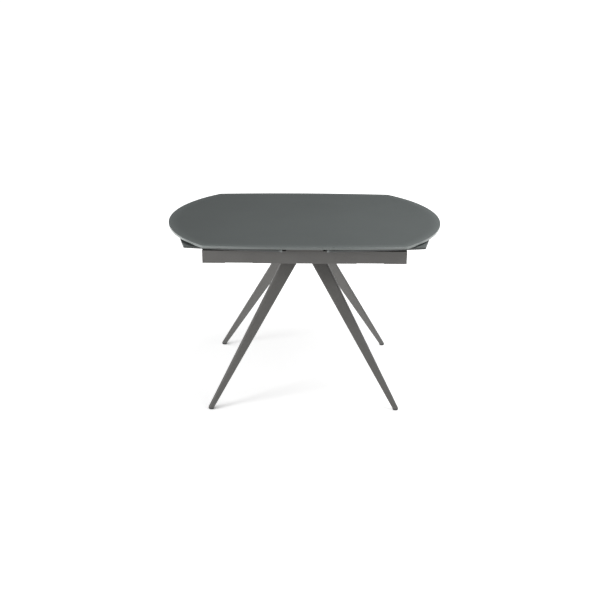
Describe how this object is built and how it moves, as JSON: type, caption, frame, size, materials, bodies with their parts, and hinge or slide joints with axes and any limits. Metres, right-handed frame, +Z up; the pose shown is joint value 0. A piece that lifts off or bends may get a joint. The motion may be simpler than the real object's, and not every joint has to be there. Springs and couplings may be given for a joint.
{
  "type": "extendable dining table",
  "caption": "Barrel-shaped glass dining table on splayed tapered legs; two leaves stored under the fixed top slide out on telescopic ball slides.",
  "frame": {"origin": "on the floor, under the middle of the fixed top", "axes": "+X along the table and along the right leaf's travel, +Y from the front to the rear, +Z up"},
  "size_m": [1.1998, 0.9098, 0.77],
  "materials": {
    "satin_glass": "tempered glass, satin-etched face, back-painted grey, ground edges",
    "grey_powder_coat": "fine-textured matt powder coat, warm dark grey",
    "slide_steel": "zinc-plated rolled steel",
    "plated_steel": "zinc-plated, semi-bright",
    "glide_plastic": "moulded black polyamide",
    "buffer_rubber": "moulded black rubber"
  },
  "bodies": {
    "base": {"bearer_bolts": "plated_steel", "closing_buffers": "buffer_rubber", "foot_glides": "glide_plastic", "front_beam": "grey_powder_coat", "front_left_leg": "grey_powder_coat", "front_left_slide_outer": "slide_steel", "front_leg_flange": "grey_powder_coat", "front_right_leg": "grey_powder_coat", "front_right_slide_outer": "slide_steel", "front_top_bracket": "grey_powder_coat", "hub_bolts": "plated_steel", "hub_plate": "grey_powder_coat", "left_cross_tube": "grey_powder_coat", "left_top_bearer": "grey_powder_coat", "leg_bolts": "plated_steel", "rear_beam": "grey_powder_coat", "rear_left_leg": "grey_powder_coat", "rear_left_slide_outer": "slide_steel", "rear_leg_flange": "grey_powder_coat", "rear_right_leg": "grey_powder_coat", "rear_right_slide_outer": "slide_steel", "rear_top_bracket": "grey_powder_coat", "right_cross_tube": "grey_powder_coat", "right_top_bearer": "grey_powder_coat", "top_bond_discs": "plated_steel", "top_glass": "satin_glass"},
    "left_leaf": {"front_left_carriage": "grey_powder_coat", "front_left_leaf_rail": "grey_powder_coat", "left_carriage_screws": "plated_steel", "left_carriage_tie": "grey_powder_coat", "left_inner_leaf_bar": "grey_powder_coat", "left_leaf_bond_discs": "plated_steel", "left_leaf_glass": "satin_glass", "left_lift_arms": "grey_powder_coat", "left_lift_pins": "plated_steel", "left_lift_springs": "plated_steel", "left_outer_leaf_bar": "grey_powder_coat", "left_slide_inners": "slide_steel", "rear_left_carriage": "grey_powder_coat", "rear_left_leaf_rail": "grey_powder_coat"},
    "left_slide_middles": {"left_slide_middles": "slide_steel"},
    "left_outer_cages": {"left_outer_cages": "slide_steel"},
    "left_inner_cages": {"left_inner_cages": "slide_steel"},
    "right_leaf": {"front_right_carriage": "grey_powder_coat", "front_right_leaf_rail": "grey_powder_coat", "rear_right_carriage": "grey_powder_coat", "rear_right_leaf_rail": "grey_powder_coat", "right_carriage_screws": "plated_steel", "right_carriage_tie": "grey_powder_coat", "right_inner_leaf_bar": "grey_powder_coat", "right_leaf_bond_discs": "plated_steel", "right_leaf_glass": "satin_glass", "right_lift_arms": "grey_powder_coat", "right_lift_pins": "plated_steel", "right_lift_springs": "plated_steel", "right_outer_leaf_bar": "grey_powder_coat", "right_slide_inners": "slide_steel"},
    "right_slide_middles": {"right_slide_middles": "slide_steel"},
    "right_outer_cages": {"right_outer_cages": "slide_steel"},
    "right_inner_cages": {"right_inner_cages": "slide_steel"}
  },
  "joints": [
    {"name": "right_leaf_slide", "type": "slide", "parent": "base", "child": "right_leaf", "axis": [1, 0, 0], "range_m": [0, 0.327]},
    {"name": "right_slide_middles_slide", "type": "slide", "parent": "base", "child": "right_slide_middles", "axis": [1, 0, 0], "range_m": [0, 0.1635]},
    {"name": "right_outer_cages_slide", "type": "slide", "parent": "base", "child": "right_outer_cages", "axis": [1, 0, 0], "range_m": [0, 0.08175]},
    {"name": "right_inner_cages_slide", "type": "slide", "parent": "base", "child": "right_inner_cages", "axis": [1, 0, 0], "range_m": [0, 0.24525]},
    {"name": "left_leaf_slide", "type": "slide", "parent": "base", "child": "left_leaf", "axis": [-1, 0, 0], "range_m": [0, 0.327]},
    {"name": "left_slide_middles_slide", "type": "slide", "parent": "base", "child": "left_slide_middles", "axis": [-1, 0, 0], "range_m": [0, 0.1635]},
    {"name": "left_outer_cages_slide", "type": "slide", "parent": "base", "child": "left_outer_cages", "axis": [-1, 0, 0], "range_m": [0, 0.08175]},
    {"name": "left_inner_cages_slide", "type": "slide", "parent": "base", "child": "left_inner_cages", "axis": [-1, 0, 0], "range_m": [0, 0.24525]}
  ],
  "couplings": [
    {"joint": "right_slide_middles_slide", "follows": "right_leaf_slide", "ratio": 0.5},
    {"joint": "right_outer_cages_slide", "follows": "right_leaf_slide", "ratio": 0.25},
    {"joint": "right_inner_cages_slide", "follows": "right_leaf_slide", "ratio": 0.75},
    {"joint": "left_slide_middles_slide", "follows": "left_leaf_slide", "ratio": 0.5},
    {"joint": "left_outer_cages_slide", "follows": "left_leaf_slide", "ratio": 0.25},
    {"joint": "left_inner_cages_slide", "follows": "left_leaf_slide", "ratio": 0.75}
  ]
}
